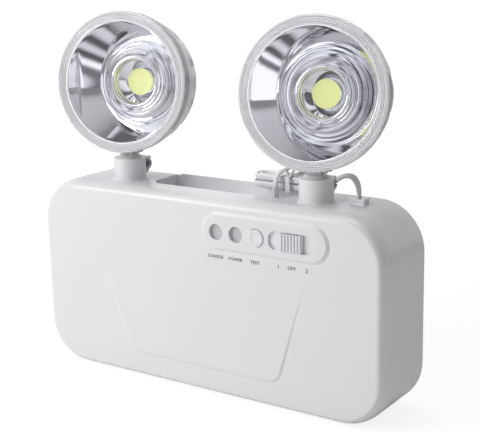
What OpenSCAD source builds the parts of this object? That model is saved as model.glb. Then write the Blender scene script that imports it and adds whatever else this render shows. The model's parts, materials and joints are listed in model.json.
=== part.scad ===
// Twin-head emergency light: a rounded case that stands on its base or hangs on a wall,
// with two round lamps that turn in split collars and tip on a screw at the top of each stem.
// Origin at the middle of the base, X to the right seen from the front, front towards -Y, Z up.

/* [Case] */
// Width of the case
case_w = 280; // [260:1:320]
// Height of the case
case_h = 138; // [136:1:160]
// Depth of the case from the front face to the back
case_d = 56; // [55:1:70]
// Radius of the four corners
corner_r = 32; // [24:1:40]
// How far the flat front face stands in from the outline
face_inset = 5.6; // [3:0.1:8]
// Depth over which the front edge rounds off
face_depth = 12; // [6:0.5:16]
// Wall thickness of both shells
wall = 2.4; // [1.8:0.1:2.8]
// Depth of the rear cover's rim
cover_rim = 9; // [8:0.5:12]
// Rounding of the rear cover's back edge
back_edge = 2.4; // [1:0.1:4]
// How far the raised panel on the front stands out at its lower edge
panel_rise = 1; // [0.5:0.1:2]

/* [Hand recess] */
// Width of the hand recess in the top
recess_w = 112; // [90:1:120]
// Depth of the hand recess down from the top
recess_deep = 22; // [19:0.5:23]
// Radius of the recess's two front corners
recess_r = 10; // [4:1:12]
// Distance of the recess's front lip in front of the case's middle plane
recess_front = 6; // [2:1:7]
// Thickness of the grip behind the recess
grip_thick = 4; // [3:0.5:5]
// How far the grip's lip stands above the top
grip_rise = 1; // [0.5:0.5:2]

/* [Controls] */
// Length of the raised control pad
pad_w = 97; // [94:1:104]
// Height of the raised control pad
pad_h = 26.4; // [24:0.2:30]
// How far the control pad stands out of the front
pad_rise = 1.5; // [0.8:0.1:2]
// Width of the sloped edge round the control pad
pad_slope = 2.2; // [1:0.1:3]
// Centre of the control pad to the right of the middle
pad_x = 53.5; // [50:0.5:58]
// Centre of the control pad below the top of the case
pad_down = 21; // [19:0.5:24]
// Distance between the two indicators and the button
control_pitch = 15.6; // [14.5:0.1:16]
// Diameter of the indicator windows
window_d = 10.8; // [8:0.1:11]
// Diameter of the test button
button_d = 11.6; // [9:0.1:12]
// Travel of the test button
button_travel = 1.2; // [0.6:0.1:1.6]
// Length of the trough that the switch knob slides in
trough_w = 34.4; // [32:0.2:36]
// Height of the trough
trough_h = 12.4; // [11:0.1:14]
// Width of the ribbed switch knob
knob_w = 16.2; // [14:0.1:16.6]
// Travel of the switch knob each way from OFF
knob_travel = 5; // [3:0.5:5]
// Number of ribs on the switch knob
knob_ribs = 7; // [5:1:9]

/* [Collars and stems] */
// Distance between the two lamp stems
lamp_pitch = 154; // [146:1:158]
// Outer diameter of a collar
collar_d = 22.6; // [22.4:0.1:25]
// Height of a collar above the case
collar_h = 15.6; // [15:0.1:16]
// Diameter of a stem inside its collar
stem_d = 17.5; // [15.5:0.1:17.6]
// Diameter of a stem's neck under the lamp
neck_d = 13.2; // [11:0.1:13.4]
// Height of the tilting screw above the case
pivot_up = 22.5; // [22.5:0.1:24]
// Diameter of the tilting screws
tilt_screw_d = 3; // [2.5:0.1:3.2]
// Width of the split in a collar
split_w = 1.2; // [0.8:0.1:2]
// Thickness of each clamp ear
ear_thick = 3.8; // [3:0.1:4.4]
// Reach of the clamp ears behind the stem's centre
ear_reach = 18; // [17:0.1:18]
// Diameter of the clamp screws
clamp_screw_d = 3; // [2.5:0.1:3.5]

/* [Lamps] */
// Outer diameter of a lamp's clear lens
lens_d = 98; // [90:1:102]
// Depth of the lens's skirt
lens_skirt = 8; // [6:0.1:8.2]
// Depth of a lamp from the lens face to the back
lamp_depth = 43.5; // [42.5:0.5:46]
// Lens face in front of the tilting screw
lens_ahead = 14.5; // [14:0.1:16]
// Number of scallops round a lamp's rear shell
lobes = 12; // [8:1:16]
// Depth of the notches between the scallops
notch_deep = 2.8; // [1.5:0.1:3]
// Diameter of the bright emitting disc
emitter_d = 20; // [14:0.5:21]
// Depth of the emitter behind the lens face
emitter_deep = 33.4; // [31:0.2:34]
// How far the left lamp is turned to the right at rest
left_turn = 14; // [0:1:40]
// How far the left lamp looks up at rest
left_tip = 5.5; // [0:0.5:12]
// How far the right lamp is turned to the right at rest
right_turn = 14; // [0:1:40]
// How far the right lamp looks up at rest
right_tip = 7.5; // [0:0.5:12]

/* [Inside] */
// Width of the sealed battery
battery_w = 70; // [60:1:72]
// Room between the top of the sealed battery and the top of the case
battery_room = 31.6; // [30.6:1:41.6]
// Thickness of the sealed battery
battery_t = 47; // [44:1:47]
// Centre of the battery in from the left end of the case
battery_left = 78; // [74:1:82]
// Thickness of the circuit board
board_t = 1.6; // [1:0.2:2]
// Width of the transformer's core
core_w = 41; // [35:1:46]
// Height of the transformer's core
core_h = 34; // [30:1:38]
// Stack thickness of the transformer's core
core_t = 20; // [16:1:24]

/* [Rear] */
// Distance between the two wall keyholes
keyhole_pitch = 210; // [208:1:214]
// Height of the keyholes' entry above the base
keyhole_z = 92; // [80:1:100]
// Diameter of a keyhole's entry
keyhole_d = 9; // [7:0.5:10]
// Width of a keyhole's slot
keyhole_slot = 4.4; // [3.5:0.1:5]

/* [Cord] */
// Width of the flat twin cord
cord_w = 4.2; // [3.6:0.1:4.2]
// Thickness of the flat twin cord
cord_t = 2.1; // [1.6:0.1:2.1]

/* [Hidden] */
$fn = 72;

// Overrun of every cut
over = 1;
// Gap between pieces that are fitted without play
snug = 0.1;
// Running clearance on the radius of a bore
running = 0.05;
// Clearance round pieces that move
play = 0.3;

front_y = -case_d / 2;
back_y = case_d / 2;
split_y = back_y - cover_rim;
inner_front_y = front_y + wall;
inner_back_y = back_y - wall;
front_depth = case_d - cover_rim;

// Front edge of the case as a quarter ellipse
edge_steps = 8;
function edge_points(reach, inset, bevel) = [
    for (i = [0 : edge_steps])
        [reach - inset * (1 - sin(90 * i / edge_steps)), bevel * (1 - cos(90 * i / edge_steps))]
];
function bar_outline(reach, inset, bevel, depth) = concat(
    edge_points(reach, inset, bevel),
    [[reach, depth], [-reach, depth]],
    [for (i = [edge_steps : -1 : 0])
        [-edge_points(reach, inset, bevel)[i][0], edge_points(reach, inset, bevel)[i][1]]]
);

// Rounded block whose front edge curves in, from y = 0 back to y = depth
module pillow(w, h, r, inset, bevel, depth) {
    for (sx = [-1, 1], cz = [r, h - r])
        translate([sx * (w / 2 - r), 0, cz]) rotate([-90, 0, 0])
            rotate_extrude() polygon(concat(
                [[0, 0]], edge_points(r, inset, bevel), [[r, depth], [0, depth]]));
    translate([0, 0, h / 2]) rotate([0, -90, 0])
        linear_extrude(w - 2 * r, center = true) polygon(bar_outline(h / 2, inset, bevel, depth));
    translate([0, 0, r])
        linear_extrude(h - 2 * r) polygon(bar_outline(w / 2, inset, bevel, depth));
}

// A pin or bore along Y
module rod_y(x, z, r, y0, y1) {
    translate([x, y0, z]) rotate([-90, 0, 0]) cylinder(r = r, h = y1 - y0);
}

// A pin or bore along X
module rod_x(y, z, r, x0, x1) {
    translate([x0, y, z]) rotate([0, 90, 0]) cylinder(r = r, h = x1 - x0);
}

// Hand recess, seen from above: square to the rear, round at the two front corners
recess_y0 = -recess_front;
recess_y1 = back_y - grip_thick;
recess_floor = case_h - recess_deep;
module recess_plan(grow, y1) {
    r = recess_r + grow;
    w = recess_w + 2 * grow;
    y0 = recess_y0 - grow;
    translate([-w / 2, y0 + r]) square([w, y1 - y0 - r]);
    translate([-w / 2 + r, y0]) square([w - 2 * r, r]);
    for (sx = [-1, 1]) translate([sx * (w / 2 - r), y0 + r]) circle(r);
}
module recess_space() {
    translate([0, 0, recess_floor]) linear_extrude(recess_deep + grip_rise + over) recess_plan(0, recess_y1);
}
module recess_tub(y1) {
    translate([0, 0, recess_floor - wall]) linear_extrude(recess_deep + wall / 2) recess_plan(wall, y1);
}

// Case screws and their bosses
boss_in = 24;
boss_r = 4.2;
case_screw_r = 1.5;
case_head_r = 3.2;
case_head_h = 2.2;
case_screw_len = 18;
boss_places = [for (sx = [-1, 1], z = [boss_in, case_h - boss_in]) [sx * (case_w / 2 - boss_in), z]];
head_seat_y = back_y - 2 * case_head_h;

// Controls, measured on the front
pad_z = case_h - pad_down;
pad_y = front_y - pad_rise;
control_drop = 0.7;
control_z = pad_z - control_drop;
window_r = window_d / 2;
charge_in = 12;
charge_x = pad_x - pad_w / 2 + charge_in;
power_x = charge_x + control_pitch;
button_x = power_x + control_pitch;
trough_in = 10;
trough_x = pad_x + pad_w / 2 - trough_w / 2 - trough_in;
trough_deep = 1.8;
trough_floor_y = pad_y + trough_deep;
window_in = 2.2;
window_y = pad_y + window_in;
window_flange = 1.1;
button_r = button_d / 2;
button_proud = 0.8;
button_stem_r = 2;
button_flange = 1;
button_flange_t = 1.2;
button_flange_r = button_r + button_flange;

// Circuit board and what stands on it
board_gap = 9;
board_front_y = inner_front_y + board_gap;
board_back_y = board_front_y + board_t;
board_left = 13;
board_right = 9;
board_low = 38;
board_high = 3;
board_x0 = charge_x - board_left;
board_x1 = trough_x + trough_w / 2 + board_right;
board_z0 = pad_z - board_low;
board_z1 = case_h - wall - board_high;
board_boss_r = 2.6;
board_screw_r = 1.1;
board_boss_in = 4;
board_screw_in = 4;
board_hole_in = 6;
board_places = [for (x = [board_x0 + board_boss_in, board_x1 - board_boss_in],
                     z = [board_z0 + board_boss_in, board_z1 - board_boss_in]) [x, z]];

// Battery and transformer
battery_x = battery_left - case_w / 2;
battery_lift = 4;
battery_z0 = wall + battery_lift;
battery_h = case_h - battery_room - battery_z0;
battery_gap = 2.2;
battery_y0 = inner_front_y + battery_gap;
battery_y1 = battery_y0 + battery_t;
rib_t = 2;
core_in = 66;
core_rise = 14.6;
core_gap = 7;
core_x = case_w / 2 - core_in;
core_z = wall + core_rise + core_h / 2;
core_y0 = inner_front_y + core_gap;
core_window_share = 0.2;
core_foot = 7;
core_screw_r = 1.5;
core_boss_r = 3.2;
core_screw_in = 4;
core_hole_in = 6;

// Collars, moulded with the front shell
pivot_z = case_h + pivot_up;
stem_y = -1.5;
lamp_x = lamp_pitch / 2;
collar_r = collar_d / 2;
collar_top = case_h + collar_h;
stem_r = stem_d / 2;
bore_r = stem_r + running;
wire_way_r = 5;
stem_flange_t = 1.9;
stem_flange = 1.7;
stem_flange_r = stem_r + stem_flange;
stem_low = case_h - wall - play - stem_flange_t;
tongue_w = 8;
tongue_r = 4;
neck_end = pivot_z - tongue_r - 2 * play;
fork_t = 3;
fork_x = tongue_w / 2 + play;
fork_out = fork_x + fork_t;
tilt_r = tilt_screw_d / 2;
tilt_head = 1.3;
tilt_end = 0.6;
tilt_head_r = tilt_r + tilt_head;
tilt_head_t = 2.4;
tilt_nut_t = 2.2;
ear_h = 11.5;
ear_drop = 1.8;
ear_sink = 1;
ear_top = collar_top - ear_drop;
ear_root = collar_r - ear_sink;
ear_chamfer = 4;
clamp_in = 4.6;
clamp_y = stem_y + ear_reach - clamp_in;
clamp_z = ear_top - clamp_in;
clamp_r = clamp_screw_d / 2;
clamp_bore_r = clamp_r + snug;
clamp_nut_r = clamp_screw_d;
clamp_nut_t = 2.4;
clamp_head_r = 2.7;
clamp_head_t = 2;
clamp_end = 0.8;
ear_x = split_w / 2 + ear_thick;

// Lamps, in their own frame: the tilting screw at the origin, the lens facing -Y
lens_r = lens_d / 2;
lens_t = 2.2;
lens_wall = 2;
shell_wall = 1.8;
shell_in = 3;
shell_r = lens_r - shell_in;
lens_up = shell_r;
shell_back_r = 26;
shell_start = lens_skirt + play;
seat_deep = 3.6;
flange_gap = 0.2;
flange_deep = lens_t + flange_gap;
dome_deep = 23.5;
dome_start = lamp_depth - dome_deep;
dome_power = 2.3;
dome_steps = 8;
lobe_r = 17;
lobe_cone = 8;
lobe_lean = 1;
function dome_radius(u, less) = shell_back_r - less
    + (shell_r - shell_back_r) * pow(max(0, 1 - pow(u, dome_power)), 1 / dome_power);
function dome_line(less, last, back) = [for (i = [0 : dome_steps]) let (u = last * i / dome_steps)
    [dome_radius(u, less), dome_start + u * (back - dome_start)]];

// Mirror of the reflector: an outer bowl, a flat lip and a small inner cup
bowl_r0 = 42;
lip_side = 0.7;
lip_crown = 1.6;
lip_low = 0.5;
lip_w = 2.2;
ring_w = 1.2;
ring_crown = 0.8;
ring_side = 0.3;
cup_over = 0.3;
bowl_r1 = 25;
lip_high = 6.4;
lip_deep = emitter_deep - lip_high;
lip_r = 21;
cup_r = 11.4;
mirror_t = 1.2;
mirror_steps = 8;
function bowl_point(i) = let (t = flange_deep + (lip_deep - flange_deep) * i / mirror_steps)
    [sqrt(pow(bowl_r0, 2) + (pow(bowl_r1, 2) - pow(bowl_r0, 2)) * (t - flange_deep) / (lip_deep - flange_deep)), t];
function cup_point(i) = let (t = lip_deep + (emitter_deep + cup_over - lip_deep) * i / mirror_steps)
    [sqrt(pow(lip_r, 2) + (pow(cup_r, 2) - pow(lip_r, 2)) * i / mirror_steps), t];

// Local frame of one stem, turned as at rest
module stem_place(side) {
    turn = side < 0 ? left_turn : right_turn;
    translate([side * lamp_x, stem_y, pivot_z]) rotate([0, 0, turn]) children();
}
// Local frame of one lamp, turned and tipped as at rest
module lamp_place(side) {
    tip = side < 0 ? left_tip : right_tip;
    stem_place(side) rotate([-tip, 0, 0]) children();
}
// Local frame on the lamp's axis, with Z as the depth behind the lens face
module on_axis() {
    translate([0, -lens_ahead, lens_up]) rotate([-90, 0, 0]) children();
}

module control_pad() {
    half = pad_h / 2;
    span = pad_w / 2 - half;
    foot = half;
    crown = half - pad_slope;
    for (sx = [-1, 1])
        translate([pad_x + sx * span, front_y + wall / 2, pad_z]) rotate([90, 0, 0]) {
            cylinder(r = foot, h = wall / 2);
            translate([0, 0, wall / 2]) cylinder(r1 = foot, r2 = crown, h = pad_rise);
        }
    translate([pad_x, 0, pad_z]) rotate([0, -90, 0]) linear_extrude(2 * span, center = true)
        polygon([[-foot, front_y + wall / 2], [-foot, front_y], [-crown, pad_y],
                 [crown, pad_y], [foot, front_y], [foot, front_y + wall / 2]]);
}

// Raised panel low on the front: sloped edges, round lower corners, and a face that fades out upwards
panel_z0 = 18.5;
panel_z1 = 92;
panel_low_w = 127;
panel_high_w = 168;
panel_r = 11;
panel_slope = 2.2;
panel_steps = 6;
panel_lean = (panel_high_w - panel_low_w) / 2 / (panel_z1 - panel_z0);
panel_lean_deg = atan(panel_lean);
panel_arc_x = panel_low_w / 2 + panel_lean * panel_r - panel_r / cos(panel_lean_deg);
panel_over = 6;
panel_top_z = panel_z1 + panel_over;
panel_top_x = panel_low_w / 2 + panel_lean * (panel_top_z - panel_z0);
panel_arc = [for (i = [0 : panel_steps]) let (a = -90 + (90 - panel_lean_deg) * i / panel_steps)
    [panel_arc_x + panel_r * cos(a), panel_z0 + panel_r * (1 + sin(a))]];
panel_line = concat(panel_arc, [[panel_top_x, panel_top_z], [-panel_top_x, panel_top_z]],
    [for (i = [panel_steps : -1 : 0]) [-panel_arc[i][0], panel_arc[i][1]]]);
panel_count = len(panel_line);
function panel_side(i) = let (d = panel_line[(i + 1) % panel_count] - panel_line[i % panel_count])
    [d[1], -d[0]] / norm(d);
function panel_way(i) = let (p = panel_side(i + panel_count - 1), q = panel_side(i)) -(p + q) / (1 + p * q);
function panel_at(i, s) = let (m = panel_way(i))
    [panel_line[i][0] + m[0] * s, front_y - s * panel_rise / panel_slope, panel_line[i][1] + m[1] * s];
function panel_crown(i) = (panel_z1 - panel_line[i][1]) / ((panel_z1 - panel_z0) / panel_slope + panel_way(i)[1]);
panel_deep = -wall / 2 * panel_slope / panel_rise;
module front_panel() {
    n = panel_count;
    polyhedron(
        concat([for (i = [0 : n - 1]) panel_at(i, panel_deep)], [for (i = [0 : n - 1]) panel_at(i, panel_crown(i))]),
        concat([[for (i = [0 : n - 1]) i]], [[for (i = [n - 1 : -1 : 0]) n + i]],
            [for (i = [0 : n - 1]) [i, n + i, n + (i + 1) % n, (i + 1) % n]]));
}

trough_r = 5.4;
module trough_plan(w, h) {
    for (sx = [-1, 1], sz = [-1, 1])
        translate([sx * (w / 2 - trough_r), sz * (h / 2 - trough_r)]) circle(trough_r);
    square([w - 2 * trough_r, h], center = true);
    square([w, h - 2 * trough_r], center = true);
}

// Split collar with two clamp ears behind it
collar_fillet = 1.2;
module collar(side) {
    translate([side * lamp_x, stem_y, 0]) {
        translate([0, 0, case_h - wall / 2]) cylinder(r = collar_r, h = wall / 2 + collar_h);
        translate([0, 0, case_h]) cylinder(r1 = collar_r + collar_fillet, r2 = collar_r, h = collar_fillet);
        translate([-ear_x, 0, 0]) rotate([90, 0, 90]) linear_extrude(2 * ear_x) polygon([
            [ear_root, ear_top], [ear_reach, ear_top], [ear_reach, ear_top - ear_h + ear_chamfer],
            [ear_reach - ear_chamfer, ear_top - ear_h], [ear_root, ear_top - ear_h]]);
    }
}
module collar_cuts(side) {
    rim = 0.8;
    translate([side * lamp_x, stem_y, 0]) {
        translate([0, 0, case_h - wall - over]) cylinder(r = bore_r, h = wall + collar_h + 2 * over);
        translate([0, 0, collar_top - rim]) cylinder(r1 = bore_r, r2 = bore_r + rim, h = rim + running);
        translate([-split_w / 2, 0, case_h + collar_fillet]) cube([split_w, ear_reach + over, collar_h]);
        rod_x(clamp_y - stem_y, clamp_z, clamp_bore_r, -ear_x - over, ear_x + over);
    }
}

module front_shell() {
    color("white") difference() {
        union() {
            difference() {
                translate([0, front_y, 0])
                    pillow(case_w, case_h, corner_r, face_inset, face_depth, front_depth);
                translate([0, inner_front_y, wall])
                    pillow(case_w - 2 * wall, case_h - 2 * wall, corner_r - wall, face_inset, face_depth, case_d);
            }
            control_pad();
            front_panel();
            for (side = [-1, 1]) collar(side);
            recess_tub(split_y);
            for (p = boss_places) rod_y(p[0], p[1], boss_r, inner_front_y - wall / 2, split_y);
            for (p = board_places) rod_y(p[0], p[1], board_boss_r, inner_front_y - wall / 2, board_front_y);
            for (sx = [-1, 1])
                rod_y(core_x + sx * (core_w / 2 + core_foot / 2), core_z, core_boss_r, inner_front_y - wall / 2, core_y0);
            for (sx = [-1, 1])
                translate([battery_x + sx * (battery_w / 2 + snug + rib_t / 2) - rib_t / 2, front_y + face_depth, wall / 2])
                    cube([rib_t, front_depth - face_depth - wall, battery_h / 3]);
            for (sx = [-1, 1])
                translate([battery_x + sx * battery_w / 4 - rib_t / 2, front_y + face_depth, wall / 2])
                    cube([rib_t, front_depth - face_depth - wall, battery_z0 - snug - wall / 2]);
        }
        recess_space();
        for (p = boss_places) rod_y(p[0], p[1], case_screw_r - snug, split_y - case_screw_len, split_y + over);
        for (p = board_places) rod_y(p[0], p[1], board_screw_r - snug, board_front_y - board_hole_in, board_front_y + over);
        for (side = [-1, 1]) {
            rod_y(core_x + side * (core_w / 2 + core_foot / 2), core_z, core_screw_r - snug, core_y0 - core_hole_in, core_y0 + over);
            collar_cuts(side);
        }
        for (x = [charge_x, power_x]) rod_y(x, control_z, window_r, pad_y - over, inner_front_y + over);
        rod_y(button_x, control_z, button_r + play, pad_y - over, inner_front_y + over);
        translate([trough_x, trough_floor_y, control_z]) rotate([90, 0, 0])
            linear_extrude(trough_deep + over) trough_plan(trough_w, trough_h);
        translate([trough_x - knob_travel - knob_stem_w / 2 - play, pad_y, control_z - knob_stem_h / 2 - play])
            cube([2 * (knob_travel + play) + knob_stem_w, wall + pad_rise + over, knob_stem_h + 2 * play]);
        translate([grommet_x, grommet_y, case_h - wall - over])
            cylinder(r = grommet_neck_r + snug, h = wall + 2 * over);
    }
}

module keyhole(x) {
    rod_y(x, keyhole_z, keyhole_d / 2, inner_back_y - over, back_y + over);
    rod_y(x, keyhole_z + keyhole_d, keyhole_slot / 2, inner_back_y - over, back_y + over);
    translate([x - keyhole_slot / 2, inner_back_y - over, keyhole_z])
        cube([keyhole_slot, wall + 2 * over, keyhole_d]);
}

module rear_cover() {
    lip_t = 1.2;
    lip_len = 2.4;
    color("white") difference() {
        union() {
            difference() {
                translate([0, back_y, 0]) mirror([0, 1, 0])
                    pillow(case_w, case_h, corner_r, back_edge, back_edge, cover_rim);
                translate([0, inner_back_y, wall]) mirror([0, 1, 0])
                    pillow(case_w - 2 * wall, case_h - 2 * wall, corner_r - wall, back_edge, back_edge, cover_rim);
            }
            difference() {
                translate([0, split_y - lip_len, wall + snug])
                    plate_block(case_w - 2 * (wall + snug), case_h - 2 * (wall + snug), corner_r - wall - snug,
                                lip_len + cover_rim - wall);
                translate([0, split_y - lip_len - over, wall + snug + lip_t])
                    plate_block(case_w - 2 * (wall + snug + lip_t), case_h - 2 * (wall + snug + lip_t),
                                corner_r - wall - snug - lip_t, lip_len + cover_rim - wall + over);
                translate([0, 0, recess_floor - wall - snug])
                    linear_extrude(recess_deep + wall) recess_plan(wall + snug, split_y);
            }
            intersection() {
                recess_tub(back_y);
                translate([-case_w / 2, split_y, 0]) cube([case_w, cover_rim, case_h]);
            }
            translate([-recess_w / 2 + recess_r / 2, recess_y1, case_h - wall])
                cube([recess_w - recess_r, grip_thick - back_edge, wall + grip_rise]);
            for (p = boss_places) rod_y(p[0], p[1], boss_r, split_y + snug, back_y - back_edge / 2);
        }
        recess_space();
        for (p = boss_places) {
            rod_y(p[0], p[1], case_screw_r + snug, split_y - over, back_y + over);
            rod_y(p[0], p[1], case_head_r + snug, head_seat_y, back_y + over);
        }
        for (sx = [-1, 1]) keyhole(sx * keyhole_pitch / 2);
    }
}

// Plain block with rounded corners, from y = 0 back to y = depth
module plate_block(w, h, r, depth) {
    rotate([-90, 0, 0]) mirror([0, 1, 0]) linear_extrude(depth) {
        for (sx = [-1, 1], cz = [r, h - r]) translate([sx * (w / 2 - r), cz]) circle(r);
        translate([-w / 2 + r, 0]) square([w - 2 * r, h]);
        translate([-w / 2, r]) square([w, h - 2 * r]);
    }
}

module case_screws() {
    color("dimgray") for (p = boss_places) {
        rod_y(p[0], p[1], case_screw_r - snug, head_seat_y - case_screw_len + cover_rim / 2, head_seat_y + case_head_h / 2);
        difference() {
            rod_y(p[0], p[1], case_head_r, head_seat_y, head_seat_y + case_head_h);
            for (w = [[2.6, 0.8], [0.8, 2.6]])
                translate([p[0] - w[0] / 2 * case_head_r / 2, head_seat_y + case_head_h / 2, p[1] - w[1] / 2 * case_head_r / 2])
                    cube([w[0] * case_head_r / 2, case_head_h, w[1] * case_head_r / 2]);
        }
    }
}

module indicator_window(x) {
    color("silver") {
        rod_y(x, control_z, window_r - snug, window_y, inner_front_y + window_flange);
        rod_y(x, control_z, window_r + window_flange, inner_front_y, inner_front_y + window_flange);
    }
}
module charge_window() { indicator_window(charge_x); }
module power_window() { indicator_window(power_x); }

led_r = 2.5;
led_high = 4.4;
led_rim = 0.4;
led_base = 1;
module indicator_leds() {
    color("lightgray") for (x = [charge_x, power_x]) {
        rod_y(x, control_z, led_r, board_front_y - led_high, board_front_y);
        translate([x, board_front_y - led_high, control_z]) sphere(led_r);
        rod_y(x, control_z, led_r + led_rim, board_front_y - led_base, board_front_y);
    }
}

// Round button with a dished top, a flange that keeps it in and a stem that works the switch
switch_high = 3.6;
switch_wall = 0.8;
button_reach = 0.4;
switch_face_y = board_front_y - switch_high;
module test_button() {
    top_y = pad_y - button_proud;
    flange_y = inner_front_y + play;
    color("white") difference() {
        union() {
            rod_y(button_x, control_z, button_r, top_y, flange_y + button_flange_t);
            rod_y(button_x, control_z, button_flange_r, flange_y, flange_y + button_flange_t);
            rod_y(button_x, control_z, button_stem_r, flange_y, switch_face_y + button_reach);
        }
        translate([button_x, top_y - 2.2 * button_r, control_z]) sphere(2.3 * button_r);
    }
}

switch_body = 8.4;
module push_switch() {
    color("dimgray") difference() {
        translate([button_x - switch_body / 2, switch_face_y, control_z - switch_body / 2])
            cube([switch_body, board_front_y - switch_face_y, switch_body]);
        rod_y(button_x, control_z, button_stem_r + play, switch_face_y - over, board_front_y - switch_wall);
    }
}

// Ribbed knob that slides in its trough, with a stem through the slot in the trough's floor
knob_stem_w = 4;
knob_stem_h = 3.6;
knob_gap = 0.4;
knob_h = trough_h - 2 * play - knob_gap;
knob_base = 1.6;
rib_high = 1.4;
module switch_knob() {
    y1 = trough_floor_y - play;
    pitch = knob_w / knob_ribs;
    color("white") {
        translate([trough_x - knob_w / 2, y1 - knob_base, control_z - knob_h / 2]) cube([knob_w, knob_base, knob_h]);
        for (i = [0 : knob_ribs - 1])
            translate([trough_x - knob_w / 2 + (i + 0.5) * pitch, y1 - knob_base, control_z - knob_h / 2])
                linear_extrude(knob_h) polygon([[-pitch * 0.4, 0], [-pitch * 0.22, -rib_high], [pitch * 0.22, -rib_high],
                                                [pitch * 0.4, 0]]);
        translate([trough_x - knob_stem_w / 2, y1 - knob_base / 2, control_z - knob_stem_h / 2])
            cube([knob_stem_w, slide_face_y + slide_reach - y1 + knob_base / 2, knob_stem_h]);
    }
}

slide_w = 24;
slide_h = 9;
slide_gap = 1;
slide_reach = 2;
slide_face_y = inner_front_y + slide_gap;
module slide_switch() {
    color("silver") difference() {
        translate([trough_x - slide_w / 2, slide_face_y, control_z - slide_h / 2])
            cube([slide_w, board_front_y - slide_face_y, slide_h]);
        translate([trough_x - knob_travel - knob_stem_w / 2 - play, slide_face_y - over, control_z - knob_stem_h / 2 - play])
            cube([2 * (knob_travel + play) + knob_stem_w, over + slide_reach + play, knob_stem_h + 2 * play]);
    }
}

module control_board() {
    color("green") difference() {
        translate([board_x0, board_front_y, board_z0]) cube([board_x1 - board_x0, board_t, board_z1 - board_z0]);
        for (p = board_places) rod_y(p[0], p[1], board_screw_r + snug, board_front_y - over, board_back_y + over);
    }
}

module board_screws() {
    color("silver") for (p = board_places) {
        rod_y(p[0], p[1], board_screw_r - snug, board_front_y - board_screw_in, board_back_y);
        rod_y(p[0], p[1], 2 * board_screw_r, board_back_y, board_back_y + board_screw_r);
    }
}

relay_w = 19;
relay_h = 15;
relay_t = 12;
relay_in = 8;
relay_up = 4;
relay_x = charge_x + relay_in;
relay_z = board_z0 + relay_up + relay_h / 2;
module relay() {
    color("royalblue") translate([relay_x - relay_w / 2, board_back_y, relay_z - relay_h / 2])
        cube([relay_w, relay_t, relay_h]);
}

cap_r = 6.5;
cap_h = 20;
module capacitor() {
    color("midnightblue") difference() {
        rod_y(relay_x + relay_w / 2 + 2 * cap_r, relay_z, cap_r, board_back_y, board_back_y + cap_h);
        translate([relay_x + relay_w / 2 + 2 * cap_r, board_back_y, relay_z]) rotate([-90, 0, 0])
            translate([0, 0, cap_r / 4]) rotate_extrude() translate([cap_r, 0]) circle(cap_r / 14);
    }
}

module battery() {
    lid = 3;
    groove = 1;
    color("darkslategray") translate([battery_x - battery_w / 2, battery_y0, battery_z0]) difference() {
        cube([battery_w, battery_t, battery_h]);
        for (y = [-over, battery_t - groove / 2])
            translate([-over, y, battery_h - lid - groove]) cube([battery_w + 2 * over, groove / 2 + over, groove]);
    }
}

tab_w = 4.8;
tab_t = 0.8;
tab_h = 6;
module battery_terminals() {
    color("silver") for (sx = [-1, 1])
        translate([battery_x + sx * battery_w / 3 - tab_t / 2, battery_y0 + battery_t / 4, battery_z0 + battery_h])
            cube([tab_t, tab_w, tab_h]);
}

module battery_pad() {
    color("gray") translate([battery_x - battery_w / 4, battery_y1, battery_z0 + battery_h / 4])
        cube([battery_w / 2, inner_back_y - battery_y1 - snug, battery_h / 3]);
}

// Laminated core with two windows, and a foot each side that takes a screw
module transformer_core() {
    leg = core_w * core_window_share;
    color("slategray") difference() {
        union() {
            translate([core_x - core_w / 2, core_y0, core_z - core_h / 2]) cube([core_w, core_t, core_h]);
            translate([core_x - core_w / 2 - core_foot, core_y0, core_z - core_foot / 2])
                cube([core_w + 2 * core_foot, board_t, core_foot]);
        }
        for (sx = [-1, 1]) {
            translate([core_x + sx * leg - leg / 2 + sx * leg / 4, core_y0 - over, core_z - core_h / 2 + leg])
                cube([leg, core_t + 2 * over, core_h - 2 * leg]);
            rod_y(core_x + sx * (core_w / 2 + core_foot / 2), core_z, core_screw_r + snug, core_y0 - over, core_y0 + board_t + over);
        }
    }
}

module transformer_coil() {
    leg = core_w * core_window_share;
    bulge = 5;
    inner = leg * 0.75 + snug;
    outer = leg * 1.75 - snug;
    color("goldenrod") difference() {
        translate([core_x - outer, core_y0 - bulge, core_z - core_h / 2 + leg + snug])
            cube([2 * outer, core_t + 2 * bulge, core_h - 2 * (leg + snug)]);
        translate([core_x - inner, core_y0 - snug, core_z - core_h / 2])
            cube([2 * inner, core_t + 2 * snug, core_h]);
    }
}

module transformer_screws() {
    color("silver") for (sx = [-1, 1]) {
        rod_y(core_x + sx * (core_w / 2 + core_foot / 2), core_z, core_screw_r - snug, core_y0 - core_screw_in, core_y0 + board_t);
        rod_y(core_x + sx * (core_w / 2 + core_foot / 2), core_z, 2 * core_screw_r, core_y0 + board_t, core_y0 + board_t + core_screw_r);
    }
}

module clamp_screw(side) {
    translate([side * lamp_x, 0, 0]) mirror([side > 0 ? 1 : 0, 0, 0]) {
        rod_x(clamp_y, clamp_z, clamp_r, -ear_x - clamp_head_t / 2, ear_x + clamp_nut_t + clamp_end);
        difference() {
            rod_x(clamp_y, clamp_z, clamp_head_r, -ear_x - clamp_head_t, -ear_x);
            translate([-ear_x - clamp_head_t - over, clamp_y - clamp_head_r, clamp_z - clamp_r / 4])
                cube([over + clamp_head_t / 2, 2 * clamp_head_r, clamp_r / 2]);
        }
    }
}
module clamp_screws() { color("dimgray") for (side = [-1, 1]) clamp_screw(side); }
module clamp_nuts() {
    color("dimgray") for (side = [-1, 1])
        translate([side * lamp_x, 0, 0]) mirror([side > 0 ? 1 : 0, 0, 0]) difference() {
            translate([ear_x, clamp_y, clamp_z]) rotate([0, 90, 0]) cylinder(r = clamp_nut_r, h = clamp_nut_t, $fn = 6);
            rod_x(clamp_y, clamp_z, clamp_r + running, ear_x - over, ear_x + clamp_nut_t + over);
        }
}

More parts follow.
